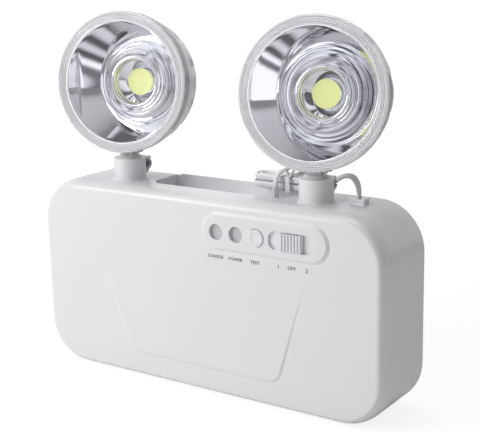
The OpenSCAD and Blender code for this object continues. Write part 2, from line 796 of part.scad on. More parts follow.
// Stem that turns in a collar, held in from below by its flange, with a tongue on top
module stem(side) {
    color("white") stem_place(side) difference() {
        union() {
            translate([0, 0, stem_low - pivot_z]) cylinder(r = stem_flange_r, h = stem_flange_t);
            translate([0, 0, stem_low - pivot_z]) cylinder(r = stem_r, h = collar_top - stem_low);
            translate([0, 0, collar_top - pivot_z]) cylinder(r1 = stem_r, r2 = neck_d / 2, h = neck_end - collar_top);
            translate([-tongue_w / 2, -tongue_r, collar_top - pivot_z]) cube([tongue_w, 2 * tongue_r, pivot_z - collar_top]);
            rod_x(0, 0, tongue_r, -tongue_w / 2, tongue_w / 2);
        }
        translate([0, 0, stem_low - pivot_z - over]) cylinder(r = wire_way_r, h = collar_top - stem_low);
        rod_x(0, 0, tilt_r, -tongue_w, tongue_w);
    }
}
module left_stem() { stem(-1); }
module right_stem() { stem(1); }

module tilt_screw(side) {
    color("black") stem_place(side) difference() {
        union() {
            rod_x(0, 0, tilt_r, -fork_out - play - tilt_nut_t - tilt_end, fork_out + play + tilt_head_t / 2);
            rod_x(0, 0, tilt_head_r, fork_out + play, fork_out + play + tilt_head_t);
        }
        for (w = [[1, 0.28], [0.28, 1]])
            translate([fork_out + play + tilt_head_t / 2, -w[0] * tilt_r, -w[1] * tilt_r])
                cube([tilt_head_t, 2 * w[0] * tilt_r, 2 * w[1] * tilt_r]);
    }
}
module left_tilt_screw() { tilt_screw(-1); }
module right_tilt_screw() { tilt_screw(1); }

module tilt_nut(side) {
    color("dimgray") stem_place(side) difference() {
        translate([-fork_out - play - tilt_nut_t, 0, 0]) rotate([0, 90, 0]) cylinder(r = tilt_head_r, h = tilt_nut_t, $fn = 6);
        rod_x(0, 0, tilt_r, -fork_out - play - tilt_nut_t - over, -fork_out);
    }
}
module left_tilt_nut() { tilt_nut(-1); }
module right_tilt_nut() { tilt_nut(1); }

// Scalloped outside of the rear shell: a ring of round lobes cut to the dome, with a cone that
// runs the notches out into the round barrel
module shell_form() {
    intersection() {
        rotate_extrude() polygon(concat([[0, shell_start], [shell_r, shell_start]], dome_line(0, 1, lamp_depth), [[0, lamp_depth]]));
        union() {
            for (i = [0 : lobes - 1]) rotate([0, 0, 90 + 360 * i / lobes])
                translate([shell_r - lobe_r, 0, shell_start]) cylinder(r = lobe_r, h = lamp_depth);
            translate([0, 0, shell_start]) cylinder(r = shell_r, h = dome_start - shell_start);
            translate([0, 0, dome_start]) cylinder(r1 = shell_r, r2 = shell_r - notch_deep - lobe_lean, h = lobe_cone);
            cylinder(r = shell_r - notch_deep, h = lamp_depth);
        }
    }
}

hook_w = 8;
hook_deep = 4.4;
hook_h = 2.4;
hook_in = 2;
hook_t = 3;
hook_angles = [45, 135, 225, 315];
post_r = 2.4;
post_at = 10.5;
module rear_shell(side) {
    skin = notch_deep + shell_wall;
    inner_r = shell_r - shell_wall;
    back_in = lamp_depth - shell_wall;
    color("white") lamp_place(side) difference() {
        union() {
            on_axis() difference() {
                union() {
                    shell_form();
                    translate([0, 0, seat_deep])
                        cylinder(r = lens_r - lens_wall - snug, h = shell_start - seat_deep + play);
                    for (a = hook_angles) rotate([0, 0, a])
                        translate([lens_r - lens_wall - hook_in, -hook_w / 2, hook_deep]) cube([hook_t, hook_w, hook_h]);
                }
                difference() {
                    rotate_extrude() polygon(concat(
                        [[0, seat_deep - over], [inner_r, seat_deep - over], [inner_r, dome_start - skin]],
                        dome_line(skin, 0.96, back_in), [[dome_radius(0.96, skin), back_in], [0, back_in]]));
                    for (a = [90 : 120 : 330]) rotate([0, 0, a]) translate([post_at, 0, sink_back])
                        cylinder(r = post_r, h = lamp_depth - sink_back);
                }
            }
            for (sx = [-1, 1]) rod_x(0, 0, tongue_r, sx < 0 ? -fork_out : fork_x, sx < 0 ? -fork_x : fork_out);
        }
        translate([-fork_x, -tongue_r - neck_d / 4, -tongue_r - over]) cube([2 * fork_x, 2 * tongue_r + neck_d / 2, 2 * tongue_r + 2 * over]);
        rod_x(0, 0, tilt_r + running, -fork_out - over, fork_out + over);
        for (sx = [-1, 1]) rod_x(0, 0, tilt_head_r + 2 * play, sx < 0 ? -fork_out - tilt_head_r - tilt_nut_t : fork_out,
                                 sx < 0 ? -fork_out : fork_out + tilt_head_r + tilt_head_t);
    }
}
module left_rear_shell() { rear_shell(-1); }
module right_rear_shell() { rear_shell(1); }

module reflector(side) {
    front = concat(
        [[lens_r - lens_wall - 2 * snug, flange_deep], [bowl_r0, flange_deep]],
        [for (i = [1 : mirror_steps]) bowl_point(i)],
        [[bowl_r1 - lip_side, lip_deep - lip_side], [bowl_r1 - lip_crown, lip_deep - lip_low], [bowl_r1 - lip_w, lip_deep],
         [lip_r + ring_w, lip_deep], [lip_r + ring_crown, lip_deep - lip_low], [lip_r + ring_side, lip_deep - lip_low]],
        [for (i = [0 : mirror_steps]) cup_point(i)]);
    back = concat(
        [for (i = [mirror_steps : -1 : 0]) [cup_point(i)[0] + mirror_t, cup_point(i)[1] + (i < mirror_steps ? mirror_t / 2 : 0)]],
        [for (i = [mirror_steps : -1 : 1]) [bowl_point(i)[0] + mirror_t, bowl_point(i)[1] + mirror_t / 2]],
        [[bowl_r0 + mirror_t, flange_deep + mirror_t], [lens_r - lens_wall - 2 * snug, flange_deep + mirror_t]]);
    color("silver") lamp_place(side) on_axis() rotate_extrude() polygon(concat(front, back));
}
module left_reflector() { reflector(-1); }
module right_reflector() { reflector(1); }

// Clear lens: a flat face with fine rings in its border and a skirt that snaps over the shell
groove_t = 0.4;
ridges = 5;
ridge_pitch = 0.9;
ridge_in = 0.6;
rim_bevel = 1;
module lens(side) {
    ridge_r = bowl_r0 + ridge_in;
    color("lightcyan") lamp_place(side) on_axis() difference() {
        rotate_extrude() polygon(concat([[0, 0], [ridge_r - ridge_pitch, 0]],
            [for (i = [0 : ridges - 1], k = [0, 1]) [ridge_r + (i + k / 2) * ridge_pitch, k == 0 ? groove_t : 0]],
            [[lens_r - rim_bevel, 0], [lens_r, rim_bevel], [lens_r, lens_skirt], [lens_r - lens_wall, lens_skirt],
             [lens_r - lens_wall, lens_t], [0, lens_t]]));
        for (a = hook_angles) rotate([0, 0, a])
            translate([lens_r - lens_wall - over, -hook_w / 2 - play, hook_deep - play])
                cube([lens_wall + 2 * over, hook_w + 2 * play, hook_h + 2 * play]);
    }
}
module left_lens() { lens(-1); }
module right_lens() { lens(1); }

led_board_t = 1.6;
led_gap = 0.6;
led_board_rim = 2.2;
sink_rim = 3.4;
board_face = emitter_deep + led_gap;
sink_t = 4;
sink_back = board_face + led_board_t + sink_t;
module led_emitter(side) {
    color("khaki") lamp_place(side) on_axis() translate([0, 0, emitter_deep])
        cylinder(r = emitter_d / 2, h = board_face - emitter_deep);
}
module left_led_emitter() { led_emitter(-1); }
module right_led_emitter() { led_emitter(1); }

module led_board(side) {
    color("whitesmoke") lamp_place(side) on_axis() translate([0, 0, board_face])
        cylinder(r = cup_r + led_board_rim, h = led_board_t);
}
module left_led_board() { led_board(-1); }
module right_led_board() { led_board(1); }

module heat_sink(side) {
    fin = 1.2;
    color("gray") lamp_place(side) on_axis() translate([0, 0, board_face + led_board_t]) difference() {
        cylinder(r = cup_r + sink_rim, h = sink_t);
        for (i = [-2 : 2]) translate([-3 * cup_r, i * 4 * fin + fin / 2, sink_t / 2]) cube([6 * cup_r, 2 * fin, sink_t]);
    }
}
module left_heat_sink() { heat_sink(-1); }
module right_heat_sink() { heat_sink(1); }

// Cord: out of a grommet on the top, up and over behind the right collar, into a tied hank,
// and from the hank down to the plug in the hand recess
grommet_out = 27;
grommet_in = 22;
grommet_lip = 1.6;
grommet_lip_w = 1;
grommet_lip_t = 1.4;
grommet_x = lamp_x + grommet_out;
grommet_y = back_y - grommet_in;
grommet_neck_r = 3;
grommet_w = 10.6;
grommet_t = 7;
grommet_h = 3.4;
module cord_grommet() {
    rib = 0.8;
    color("white") difference() {
        union() {
            translate([grommet_x - grommet_w / 2, grommet_y - grommet_t / 2, case_h]) cube([grommet_w, grommet_t, grommet_h]);
            translate([grommet_x, grommet_y, case_h - wall - grommet_lip]) cylinder(r = grommet_neck_r, h = wall + grommet_lip + over);
            translate([grommet_x, grommet_y, case_h - wall - grommet_lip]) cylinder(r = grommet_neck_r + grommet_lip_w, h = grommet_lip_t);
        }
        for (z = [1 : 2]) for (sy = [-1, 1])
            translate([grommet_x - grommet_w, grommet_y + sy * grommet_t / 2 - rib / 2, case_h + z * 1.3 * rib - rib / 2])
                cube([2 * grommet_w, rib, rib / 2]);
    }
}

// Tube with a flat oval section along a route: each station is a point, a forward direction and
// the direction of its wide side
function unit(v) = v / norm(v);
function along(route, i) = unit(route[min(i + 1, len(route) - 1)] - route[max(i - 1, 0)]);
function wide_dir(side, fwd) = unit(side - fwd * (side * fwd));
module flat_tube(route, wides, w, t, sides) {
    n = len(route);
    pts = [for (i = [0 : n - 1]) let (f = along(route, i), a = wide_dir(wides[i], f), b = cross(f, a))
        for (k = [0 : sides - 1]) route[i] + a * (w / 2) * cos(360 * k / sides) + b * (t / 2) * sin(360 * k / sides)];
    polyhedron(pts, concat(
        [[for (k = [sides - 1 : -1 : 0]) k]],
        [for (i = [0 : n - 2], k = [0 : sides - 1], half = [0, 1]) let (
            a = i * sides + k,
            b = i * sides + (k + 1) % sides)
            half == 0 ? [a, b, a + sides] : [b, b + sides, a + sides]],
        [[for (k = [0 : sides - 1]) (n - 1) * sides + k]]));
}

// Tied hank lying flat behind the hand recess: one tube that winds in on the lower layer and out on the
// upper one, and climbs between them along a straight run
hank_left = 34;
hank_ahead = 10.6;
hank_up = 3.1;
hank_space = 0.8;
hank_layer = 0.7;
hank_x = lamp_x - hank_left;
hank_y = back_y - hank_ahead;
hank_z = case_h + grip_rise + hank_up;
hank_step = cord_w + hank_space;
hank_half = 16;
hank_r = 9;
hank_in = cord_t + hank_layer;
hank_climb = 0.24;
hank_turning = 2.12;
hank_loops = 3.99;
hank_rings = 96;
function hank_round(t, r) = let (
    q = PI * hank_r / 2,
    run = 2 * hank_half,
    d = (t - floor(t)) * (4 * q + 2 * run))
    d < run ? [hank_half - d, r]
    : d < 2 * q + run ? [-hank_half - r * sin(90 * (d - run) / q), r * cos(90 * (d - run) / q)]
    : d < 2 * q + 2 * run ? [-hank_half + d - 2 * q - run, -r]
    : [hank_half + r * sin(90 * (d - 2 * q - 2 * run) / q), -r * cos(90 * (d - 2 * q - 2 * run) / q)];
function ease(v) = let (c = max(0, min(1, v))) c * c * (3 - 2 * c);
hank_route = [for (i = [0 : hank_rings]) let (
    t = hank_loops * i / hank_rings,
    p = hank_round(t, hank_r - hank_in * min(t, 2 * hank_turning - t)))
    [hank_x + p[0], hank_y + p[1], hank_z + hank_step * ease((t - hank_turning) / hank_climb + 0.5)]];
module cord_hank() {
    color("white") flat_tube(hank_route, [for (p = hank_route) [0, 0, 1]], cord_w, cord_t, 6);
}

hank_start = hank_route[0];
hank_end = hank_route[hank_rings];
// Points measured from the back edge of the top, behind the right stem
function from_stem(list) = [for (p = list) p + [lamp_x, back_y, case_h]];
run_route = concat(from_stem([[27, -22, grommet_h], [26.7, -21.7, 5.6], [26, -20.8, 8], [24.6, -19.3, 10.4],
    [22.4, -17.2, 12.4], [19.6, -14.4, 13.6], [16.4, -11.2, 14], [13, -8.2, 13.8], [9.6, -5.6, 13.2],
    [6, -3.6, 12.2], [2.4, -2.2, 10.6], [-1.2, -1.6, 8.6], [-4.8, -1.6, 6.6], [-8.4, -1.6, 5.2],
    [-12.4, -1.6, 4.3]]), [hank_start]);
run_last = len(run_route) - 1;
run_wide = [for (i = [0 : run_last]) [0.5 * sin(180 * i / run_last), cos(90 * ease(i / run_last)), sin(90 * ease(i / run_last))]];
module mains_cord() {
    color("white") flat_tube(run_route, run_wide, cord_w, cord_t, 8);
}

plug_left = 75;
plug_x0 = lamp_x - plug_left;
plug_len = 30;
plug_w = 13;
plug_h = 25;
plug_y1 = recess_y1 - play;
plug_end = [plug_x0 + plug_len, plug_y1 - plug_h / 2, recess_floor + snug + plug_w / 2];
tail_top = from_stem([[-35, -23.4, 8]])[0];
tail_low = plug_end + [10, -5.6, 12];
tail_route = concat([hank_end],
    from_stem([[-20.8, -2, 10.8], [-23.2, -2.2, 13.6], [-26.2, -4, 15.4], [-29.2, -7.4, 15.8], [-31.4, -11.4, 15.4],
        [-33.2, -15.4, 14.8], [-34.4, -19.2, 13.4], [-34.9, -22.2, 11]]),
    [for (share = [0, 0.34, 0.67, 1]) tail_top + (tail_low - tail_top) * share],
    [for (p = [[9.6, -4, 7], [8, -2, 3], [5, -0.6, 0.6], [2, 0, 0], [0, 0, 0]]) plug_end + p]);
tail_wide = concat([[0, 0, 1], [0, 0, 1], [0.2, 0.2, 1], [0.5, -0.5, 1], [1, -1, 0.6], [1, -0.8, 0], [1, -0.6, 0]],
    [for (i = [1 : 3]) [1, -0.4, 0]], [[1, 0.5, 0], [1, 1, 0], [0.5, 1, 0]], [for (i = [1 : 5]) [0, 1, 0]]);
module cord_tail() {
    color("white") flat_tube(tail_route, tail_wide, cord_w, cord_t, 8);
}

// Paper-covered wire tie round the middle of the hank, with its two twisted ends in front
tie_left = 27;
tie_x = lamp_x - tie_left;
tie_w = 3;
tie_t = 0.6;
module twist_tie() {
    y0 = hank_y - hank_r - cord_t / 2 - snug;
    y1 = hank_y + hank_r + cord_t / 2 + snug;
    z0 = hank_z - cord_w / 2 - snug;
    z1 = hank_z + hank_step + cord_w / 2 + snug;
    color("gainsboro") {
        difference() {
            translate([tie_x - tie_w / 2, y0 - tie_t, z0 - tie_t]) cube([tie_w, y1 - y0 + 2 * tie_t, z1 - z0 + 2 * tie_t]);
            translate([tie_x - tie_w, y0, z0]) cube([2 * tie_w, y1 - y0, z1 - z0]);
        }
        for (side = [-1, 1]) translate([tie_x + side * tie_w / 4, y0 + tie_w, z1 + tie_t / 2])
            rotate([0, side * 28, 0]) translate([-tie_t / 2, -tie_w / 2, 0]) cube([tie_t, tie_w, 5]);
    }
}

// Moulded plug lying in the hand recess
module plug_body() {
    z0 = recess_floor + snug;
    neck_r = 3.4;
    color("white") difference() {
        translate([plug_x0, plug_y1 - plug_h, z0]) rotate([90, 0, 90]) linear_extrude(plug_len - 4) {
            for (sx = [0, 1], sz = [0, 1])
                translate([3 + sx * (plug_h - 6), 3 + sz * (plug_w - 6)]) circle(3);
            translate([3, 0]) square([plug_h - 6, plug_w]);
            translate([0, 3]) square([plug_h, plug_w - 6]);
        }
        for (i = [0 : 3], sz = [0, 1]) rod_y(plug_x0 + 8 + i * 4, z0 + sz * plug_w, 0.8, plug_y1 - plug_h + 5, plug_y1 - 5);
    }
    color("white") rod_x(plug_end[1], plug_end[2], neck_r, plug_x0 + plug_len - 4 - over, plug_end[0]);
}
blade_len = 16;
blade_r = 2;
blade_pitch = 14;
module plug_pins() {
    color("silver") for (sy = [-1, 1])
        rod_x(plug_end[1] + sy * blade_pitch / 2, plug_end[2], blade_r, plug_x0 - blade_len, plug_x0);
}

hank_gap = min([for (i = [0 : hank_rings], j = [0 : hank_rings]) if (j > i + 12)
    let (d = hank_route[i] - hank_route[j])
    max(abs(d[2]) - cord_w, norm([d[0], d[1]]) - cord_t)]);
echo(hank_least_gap = hank_gap);

front_shell();
rear_cover();
case_screws();
charge_window();
power_window();
indicator_leds();
test_button();
push_switch();
switch_knob();
slide_switch();
control_board();
board_screws();
relay();
capacitor();
battery();
battery_terminals();
battery_pad();
transformer_core();
transformer_coil();
transformer_screws();
clamp_screws();
clamp_nuts();
left_stem();
left_tilt_screw();
left_tilt_nut();
left_rear_shell();
left_reflector();
left_lens();
left_led_board();
left_led_emitter();
left_heat_sink();
right_stem();
right_tilt_screw();
right_tilt_nut();
right_rear_shell();
right_reflector();
right_lens();
right_led_board();
right_led_emitter();
right_heat_sink();
cord_grommet();
mains_cord();
cord_hank();
cord_tail();
twist_tie();
plug_body();
plug_pins();
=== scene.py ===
# %% [markdown]
# # An emergency light and its looks
# The imported model gives every hard piece, in metres. In this lesson they get their finishes, and three things
# are made anew: the flat mains cord, the two mirrors and the printed marks.

# %% Load the frame
import bpy
import bmesh
import json
from math import atan2, cos, floor, pi, radians, sin
from mathutils import Matrix, Vector


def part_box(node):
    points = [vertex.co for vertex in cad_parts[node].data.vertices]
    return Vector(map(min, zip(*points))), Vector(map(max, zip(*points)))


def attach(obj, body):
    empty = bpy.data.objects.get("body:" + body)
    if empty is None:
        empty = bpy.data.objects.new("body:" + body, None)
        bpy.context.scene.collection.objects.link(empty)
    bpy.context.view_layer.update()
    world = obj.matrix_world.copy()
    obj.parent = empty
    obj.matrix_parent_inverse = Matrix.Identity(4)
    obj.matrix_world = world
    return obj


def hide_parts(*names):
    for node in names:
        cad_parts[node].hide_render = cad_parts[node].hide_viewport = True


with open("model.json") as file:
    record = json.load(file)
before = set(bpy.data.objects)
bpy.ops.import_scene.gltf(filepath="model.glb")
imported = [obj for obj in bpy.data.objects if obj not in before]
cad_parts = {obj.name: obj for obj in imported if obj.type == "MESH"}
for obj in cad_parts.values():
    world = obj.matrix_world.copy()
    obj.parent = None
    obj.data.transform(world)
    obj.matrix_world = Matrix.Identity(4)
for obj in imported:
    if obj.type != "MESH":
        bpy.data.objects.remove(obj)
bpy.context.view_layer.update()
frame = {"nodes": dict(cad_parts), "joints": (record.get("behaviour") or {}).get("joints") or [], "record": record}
bpy.context.scene.view_settings.view_transform = "Standard"
nodes = frame["nodes"]
joints = {joint["name"]: joint for joint in frame["joints"]}
MM = 0.001

# %% [markdown]
# ## Places read from the model
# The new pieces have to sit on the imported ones. Their places could be typed in again, but then they would
# stay behind when a size of the model changes. So the back and top of the case and the right stem are read
# from the solids and the joints, in millimetres. They are rounded to a thousandth, because the file keeps
# short numbers. The case's middle depth is at zero, so its front lies as far ahead as its back lies behind.

# %% Places in millimetres
def box_mm(node):
    """Lowest and highest corner of a solid."""
    return [Vector([round(v / MM, 3) for v in corner]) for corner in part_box(node)]

def middle_mm(node):
    """Middle of a solid's box."""
    low, high = box_mm(node)
    return (low + high) / 2

GROMMET_RISE = 3.4
back_y = box_mm("rear_cover")[1].y
front_y = -back_y
case_top = box_mm("cord_grommet")[1].z - GROMMET_RISE
stem_x = joints["right_pan"]["pos_m"][0] / MM
print("back %.1f, front %.1f, top %.1f, right stem %.1f" % (back_y, front_y, case_top, stem_x))

# %% [markdown]
# ## Camera
# The photograph was taken from the right and a little above. The camera's place, aim and lens were worked
# out from the outline of the case and the two lamp rings, so they are plain numbers here. A long lens keeps
# the case's edges close to parallel, as in the photograph.

# %% Camera
CAMERA_PLACE = (0.43068, -0.5989, 0.29654)
YAW, PITCH, ROLL = 34.68, 13.57, -1.32
LENS_LENGTH, SENSOR_WIDTH = 83.29, 36.0
FAR_END = 100.0

def aim_camera(place, yaw, pitch, roll):
    """Point a camera by compass angle, downward angle and lean, all in degrees."""
    a, e, r = radians(yaw), radians(pitch), radians(roll)
    ahead = Vector((-sin(a) * cos(e), cos(a) * cos(e), -sin(e)))
    right = ahead.cross(Vector((0, 0, 1))).normalized()
    up = right.cross(ahead)
    side = right * cos(r) + up * sin(r)
    top = -right * sin(r) + up * cos(r)
    data = bpy.data.cameras.new("camera")
    data.lens, data.sensor_width, data.clip_end = LENS_LENGTH, SENSOR_WIDTH, FAR_END
    cam = bpy.data.objects.new("camera", data)
    bpy.context.scene.collection.objects.link(cam)
    turn = Matrix((side, top, -ahead)).transposed().to_4x4()
    cam.matrix_world = Matrix.Translation(place) @ turn
    bpy.context.scene.camera = cam
    return cam

camera = aim_camera(CAMERA_PLACE, YAW, PITCH, ROLL)
print("camera at", tuple(round(v, 3) for v in camera.location))

# %% [markdown]
# ## Flat twin cord: the hank
# The mains cord is a flat twin flex. Behind the right collar it is wound into a small tied hank of two
# layers. The hank could be drawn point by point, but the loops would never come out even. So each place is
# worked out: loops of two straights and two half circles, that get narrower inwards on the lower layer,
# climb along a straight, and get wider again on the upper one. The flex stands on its narrow edge, so one
# layer is as high as the flex is wide.

# %% Places on the hank
CORD_W, CORD_T = 4.2, 2.1
HANK_LOOPS, HANK_TURN_BACK = 3.99, 2.12
HANK_HALF, HANK_R = 16.0, 9.0
HANK_CLIMB, HANK_RINGS = 0.24, 288
LOOP_GAP, LAYER_GAP = 0.7, 0.8
HANK_LEFT, HANK_AHEAD, HANK_UP = 34.0, 10.6, 2.0
hank_inward, hank_step = CORD_T + LOOP_GAP, CORD_W + LAYER_GAP
hank_middle = Vector((stem_x - HANK_LEFT, back_y - HANK_AHEAD, case_top + HANK_UP + CORD_W / 2))

def soft_step(v):
    """From 0 to 1 with level ends."""
    c = max(0.0, min(1.0, v))
    return c * c * (3 - 2 * c)

def hank_point(t):
    """Place on the hank after t loops: in on the lower layer, up along a straight, out on the upper one."""
    r = HANK_R - hank_inward * min(t, 2 * HANK_TURN_BACK - t)
    fold, run = pi * HANK_R, 2 * HANK_HALF
    d = (t - floor(t)) * 2 * (fold + run)
    if d < run:
        across, along = HANK_HALF - d, r
    elif d < run + fold:
        a = pi * (d - run) / fold
        across, along = -HANK_HALF - r * sin(a), r * cos(a)
    elif d < 2 * run + fold:
        across, along = -HANK_HALF + d - fold - run, -r
    else:
        a = pi * (d - fold - 2 * run) / fold
        across, along = HANK_HALF + r * sin(a), -r * cos(a)
    lift = hank_step * soft_step((t - HANK_TURN_BACK) / HANK_CLIMB + 0.5)
    return hank_middle + Vector((across, along, lift))

hank = [hank_point(HANK_LOOPS * i / HANK_RINGS) for i in range(HANK_RINGS + 1)]
print("hank points:", len(hank))

# %% [markdown]
# ## Flat twin cord: the way in and out
# From the grommet the cord rises, bends over and runs in behind the collar. After the hank it crosses over the
# loops and drops into the hand recess to its plug. These parts follow the photograph, so they are short lists of
# given points. They are measured from the case's top and back beside the right stem, and the last ones from the
# plug.

# %% Route of the cord
def from_stem(*points):
    """Points measured from the back edge of the case's top, behind the right collar."""
    return [Vector((stem_x + x, back_y + y, case_top + z)) for x, y, z in points]

run_in = from_stem((27, -22, 3.4), (26.7, -21.7, 5.6), (26, -20.8, 8), (24.6, -19.3, 10.4),
                   (22.4, -17.2, 12.4), (19.6, -14.4, 13.6), (16.4, -11.2, 14), (13, -8.2, 13.8),
                   (9.6, -5.6, 13.2), (6, -3.6, 12.2), (2.4, -2.2, 10.6), (-1.2, -1.6, 8.6),
                   (-4.8, -1.6, 6.6), (-8.4, -1.6, 5.2), (-12.4, -1.6, 4.3))
over = from_stem((-20.8, -2, 10.8), (-23.2, -2.2, 13.6), (-26.2, -4, 15.4), (-29.2, -7.4, 15.8),
                 (-31.4, -11.4, 15.4), (-33.2, -15.4, 14.8), (-34.4, -19.2, 13.4), (-34.9, -22.2, 11))
plug_end = middle_mm("plug_body")
plug_end.x = box_mm("plug_body")[1].x
drop_top, = from_stem((-35, -23.4, 8))
drop_low = plug_end + Vector((10, -5.6, 12))
drop = [drop_top.lerp(drop_low, share) for share in (0, 0.34, 0.67, 1)]
into_plug = [plug_end + Vector(p) for p in ((9.6, -4, 7), (8, -2, 3), (5, -0.6, 0.6), (2, 0, 0), (0, 0, 0))]
route = run_in + hank + over + drop + into_plug
print("route points:", len(route))

# %% [markdown]
# ## Flat twin cord: its wide side
# A curve with a flat profile twists by itself at the folds, and a real flex doesn't. So every point of the
# route says which way the flex's wide side looks there: from lying flat at the grommet it turns upright in
# the hank, and turns again on its way down to the plug.

# %% Wide side of the cord along the route
SIDE_LEAN = 0.5
last = len(run_in)
wide_in = []
for i in range(last):
    turned = pi / 2 * soft_step(i / last)
    wide_in.append(Vector((SIDE_LEAN * sin(pi * i / last), cos(turned), sin(turned))))
over_ways = [(0, 0, 1), (0.2, 0.2, 1), (0.5, -0.5, 1), (1, -1, 0.6), (1, -0.8, 0), (1, -0.6, 0)]
down_ways = [(1, -0.4, 0)] * 3 + [(1, 0.5, 0), (1, 1, 0), (0.5, 1, 0)]
wide_out = [Vector(p) for p in over_ways + down_ways + [(0, 1, 0)] * 5]
wide_way = wide_in + [Vector((0, 0, 1))] * len(hank) + wide_out
print("wide directions:", len(wide_way))

# %% [markdown]
# ## Flat twin cord: a smooth line
# The listed points lie far apart and the hank's lie close. A curve that takes each step in the same time swings
# out where a short step meets a long one, which would kink the flex. Here a step's time is the root of its length,
# and the curve stays calm there.

# %% Smooth the route
ROUTE_PARTS = 3

def smooth_route(points, parts):
    """Points on a calm curve through the route, parts of them between each two."""
    ends = [2 * points[0] - points[1]] + points + [2 * points[-1] - points[-2]]
    out = []
    for a, b, c, d in zip(ends, ends[1:], ends[2:], ends[3:]):
        t1 = (b - a).length ** 0.5
        t2 = t1 + (c - b).length ** 0.5
        t3 = t2 + (d - c).length ** 0.5
        for k in range(parts):
            t = t1 + (t2 - t1) * k / parts
            ab, bc, cd = a.lerp(b, t / t1), b.lerp(c, (t - t1) / (t2 - t1)), c.lerp(d, (t - t2) / (t3 - t2))
            early, late = ab.lerp(bc, t / t2), bc.lerp(cd, (t - t1) / (t3 - t1))
            out.append(early.lerp(late, (t - t1) / (t2 - t1)))
    return out + [points[-1].copy()]

line = [p * MM for p in smooth_route(route, ROUTE_PARTS)]
wides = []
for i in range(len(line)):
    step, part = divmod(i, ROUTE_PARTS)
    wides.append(wide_way[step].lerp(wide_way[min(step + 1, len(wide_way) - 1)], part / ROUTE_PARTS))

# %% [markdown]
# ## From bmesh to object
# Every new piece ends the same way: its bmesh becomes a mesh and an object that sits at the origin, unturned,
# with its place in its points, as the model's own pieces do. Round pieces are shaded smooth, planes aren't.

# %% Helper that finishes a mesh
def finish_mesh(name, bm, smooth=True):
    """Make the bmesh an object at the origin and shade it."""
    mesh = bpy.data.meshes.new(name)
    bm.to_mesh(mesh)
    bm.free()
    if smooth:
        mesh.shade_smooth()
    obj = bpy.data.objects.new(name, mesh)
    bpy.context.scene.collection.objects.link(obj)
    print(name, "faces:", len(mesh.polygons))
    return obj

print("helper: finish_mesh")

# %% [markdown]
# ## Flat twin cord: the tube
# The flex's section is a flat oval with a waist, where its two wires lie side by side. A ring of this section is
# set square to the line at each point, with its wide side as told above, and the rings are joined. The cord then
# stands for the three plain solids of the model, which are hidden, and rides on the case.

# %% Cord tube
CORD_SIDES = 16
WAIST_DEPTH, WAIST_WIDTH = 0.22, 0.55

def twin_section(k):
    """One point of the flex's section: across the width, and across the thickness."""
    a = 2 * pi * k / CORD_SIDES
    waist = 1 - WAIST_DEPTH * (1 - min(1.0, abs(cos(a)) / WAIST_WIDTH)) ** 2
    return CORD_W / 2 * MM * cos(a), CORD_T / 2 * MM * sin(a) * waist

def sweep_cord(name, points, wides):
    """Rings along the points, joined by faces, each with its wide side near the direction given."""
    bm = bmesh.new()
    rings = []
    for i, p in enumerate(points):
        ahead = (points[min(i + 1, len(points) - 1)] - points[max(i - 1, 0)]).normalized()
        wide = (wides[i] - ahead * wides[i].dot(ahead)).normalized()
        thick = ahead.cross(wide)
        section = [twin_section(k) for k in range(CORD_SIDES)]
        rings.append([bm.verts.new(p + wide * u + thick * v) for u, v in section])
    for a, b in zip(rings, rings[1:]):
        for k in range(CORD_SIDES):
            n = (k + 1) % CORD_SIDES
            bm.faces.new((a[k], a[n], b[n], b[k]))
    bm.faces.new(list(reversed(rings[0])))
    bm.faces.new(rings[-1])
    bmesh.ops.recalc_face_normals(bm, faces=bm.faces)
    return finish_mesh(name, bm)

cord = sweep_cord("cord", line, wides)
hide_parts("mains_cord", "cord_hank", "cord_tail")
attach(cord, "case")

# %% [markdown]
# ## Mirrors: where the lamps look
# A mirror is drawn round its own axis and then put in its lamp. Each lamp stands on a tilting joint, so the
# joint's place and axis say where it is and which way it is turned. Both lamps can tip 10 degrees forward of
# upright, so the joint's lower limit also tells how far each one leans back in the photograph.

# %% Lamp axes
SIDES = ("left", "right")
LENS_UP, LENS_AHEAD = 46.0, 14.5
FORWARD_TIP = 10.0

def lamp_matrix(side):
    """From lamp axis places (across, up, depth behind the lens) to the model's frame, in metres."""
    tilt = joints[side + "_tilt"]
    turn = Matrix.Rotation(atan2(-tilt["axis"][1], -tilt["axis"][0]), 4, "Z")
    tip = Matrix.Rotation(radians(tilt["range_deg"][0] + FORWARD_TIP), 4, "X")
    axis = Matrix.Translation(Vector((0, -LENS_AHEAD, LENS_UP)) * MM) @ Matrix.Rotation(radians(-90), 4, "X")
    return Matrix.Translation(tilt["pos_m"]) @ turn @ tip @ axis

lamp_axes = {side: lamp_matrix(side) for side in SIDES}
print("lamp axes start at", [tuple(round(v, 4) for v in m.translation) for m in lamp_axes.values()])

# %% [markdown]
# ## Mirrors: the profile
# Each lamp has one bright moulded mirror: a flange under the lens, a deep cone, a valley at its foot, three
# rounded steps up towards the middle, and a shallow cup round the emitter. The steps catch the bright rings
# of the photograph. They also hide the emitter from the cone's far wall, where it would show as a broad
# yellow patch. The innermost wall runs straight back, so that it hardly shows the emitter.

# %% Mirror profile
FLANGE = [(46.8, 2.45), (43.0, 2.45), (42.3, 2.55), (41.9, 2.9)]
FLANGE_BACK = [(42.8, 3.5), (46.8, 3.5)]
VALLEY_AND_STEPS = [(24.1, 29.2), (23.4, 29.6), (22.7, 29.3), (22.2, 28.4), (21.8, 27.4), (21.2, 26.9),
                    (20.5, 26.9), (20.0, 26.5), (19.7, 25.6), (19.3, 25.0), (18.7, 24.9), (18.2, 24.4),
                    (17.9, 23.4), (17.4, 22.8), (16.8, 22.8), (16.2, 23.1), (15.85, 24.0), (15.8, 26.0),
                    (15.8, 28.4), (15.5, 29.15)]
SHEET_OUT, SHEET_BACK = 0.9, 0.5

